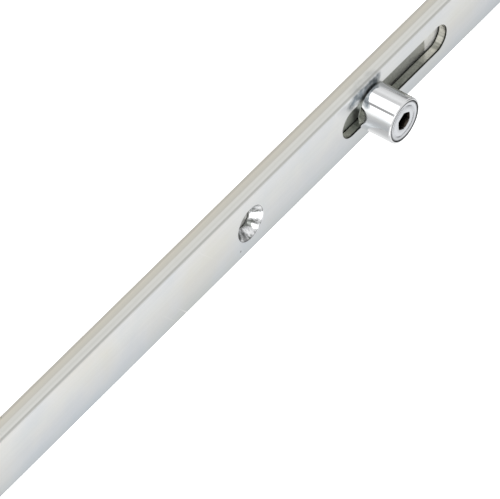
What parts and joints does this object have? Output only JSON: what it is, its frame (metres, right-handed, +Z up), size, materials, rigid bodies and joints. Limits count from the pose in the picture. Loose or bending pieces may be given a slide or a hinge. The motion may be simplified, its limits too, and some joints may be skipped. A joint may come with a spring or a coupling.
{
  "type": "multipoint door lock",
  "caption": "Long steel faceplate lock with sliding drive rods, eccentric roller cams in slots, and a gearbox case with latch and deadbolt.",
  "frame": {"origin": "middle of the faceplate's back face at the height of the spindle", "axes": "+Z up along the faceplate, -Y out of the faceplate towards the rollers, +X across it to the side of the case cover"},
  "size_m": [0.016, 0.0595, 0.624],
  "materials": {
    "faceplate_steel": "satin zinc plated",
    "rod_steel": "zinc plated strip",
    "slide_steel": "punched and folded, zinc plated",
    "roller_chrome": "turned and polished",
    "pin_chrome": "turned, nickel plated",
    "washer_steel": "zinc plated",
    "case_steel": "zinc plated sheet",
    "cover_steel": "zinc plated sheet",
    "screw_steel": "zinc plated",
    "cast_zinc": "die cast, sintered grey",
    "bolt_steel": "nickel plated",
    "spring_steel": "drawn wire"
  },
  "bodies": {
    "frame": {"faceplate": "faceplate_steel", "case_body": "case_steel", "case_cover": "cover_steel", "case_pillars": "screw_steel", "cover_screws": "screw_steel", "case_screws": "screw_steel", "latch_guide": "screw_steel", "latch_spring": "spring_steel"},
    "drive": {"lower_drive_rod": "rod_steel", "upper_drive_rod": "rod_steel", "rack_slide": "slide_steel", "rod_rivets": "washer_steel", "pin_washers": "washer_steel"},
    "lower_pin": {"lower_roller_pin": "pin_chrome"},
    "upper_pin": {"upper_roller_pin": "pin_chrome"},
    "lower_roller": {"lower_roller": "roller_chrome"},
    "upper_roller": {"upper_roller": "roller_chrome"},
    "follower": {"follower": "cast_zinc"},
    "latch_follower": {"latch_follower": "cast_zinc"},
    "deadbolt": {"deadbolt": "bolt_steel", "deadbolt_pin": "screw_steel"},
    "latch": {"latch_bolt": "bolt_steel"}
  },
  "joints": [
    {"name": "drive_slide", "type": "slide", "parent": "frame", "child": "drive", "axis": [0, 0, 1], "range_m": [-0.018, 0]},
    {"name": "follower_turn", "type": "hinge", "parent": "frame", "child": "follower", "pos_m": [0, 0.0255, 0], "axis": [1, 0, 0], "range_deg": [0, 57.3]},
    {"name": "deadbolt_slide", "type": "slide", "parent": "frame", "child": "deadbolt", "axis": [0, -1, 0], "range_m": [0, 0.018]},
    {"name": "latch_slide", "type": "slide", "parent": "frame", "child": "latch", "axis": [0, 1, 0], "range_m": [0, 0.01], "stiffness_N_per_m": 150, "springref_m": -0.03, "deforming": ["latch_spring"]},
    {"name": "latch_follower_turn", "type": "hinge", "parent": "frame", "child": "latch_follower", "pos_m": [0, 0.0255, 0], "axis": [-1, 0, 0], "range_deg": [0, 35.1]},
    {"name": "lower_pin_adjust", "type": "hinge", "parent": "drive", "child": "lower_pin", "pos_m": [0, 0, -0.2678], "axis": [0, -1, 0], "range_deg": [-90, 90]},
    {"name": "upper_pin_adjust", "type": "hinge", "parent": "drive", "child": "upper_pin", "pos_m": [0, 0, 0.2122], "axis": [0, -1, 0], "range_deg": [-90, 90]},
    {"name": "lower_roller_spin", "type": "hinge", "parent": "lower_pin", "child": "lower_roller", "pos_m": [0, 0, -0.267], "axis": [0, -1, 0], "continuous": true},
    {"name": "upper_roller_spin", "type": "hinge", "parent": "upper_pin", "child": "upper_roller", "pos_m": [0, 0, 0.213], "axis": [0, -1, 0], "continuous": true}
  ],
  "couplings": [
    {"joint": "follower_turn", "follows": "drive_slide", "rad_per_m": -55.556},
    {"joint": "deadbolt_slide", "follows": "drive_slide", "ratio": -1},
    {"joint": "latch_follower_turn", "follows": "latch_slide", "rad_per_m": 61.05}
  ]
}
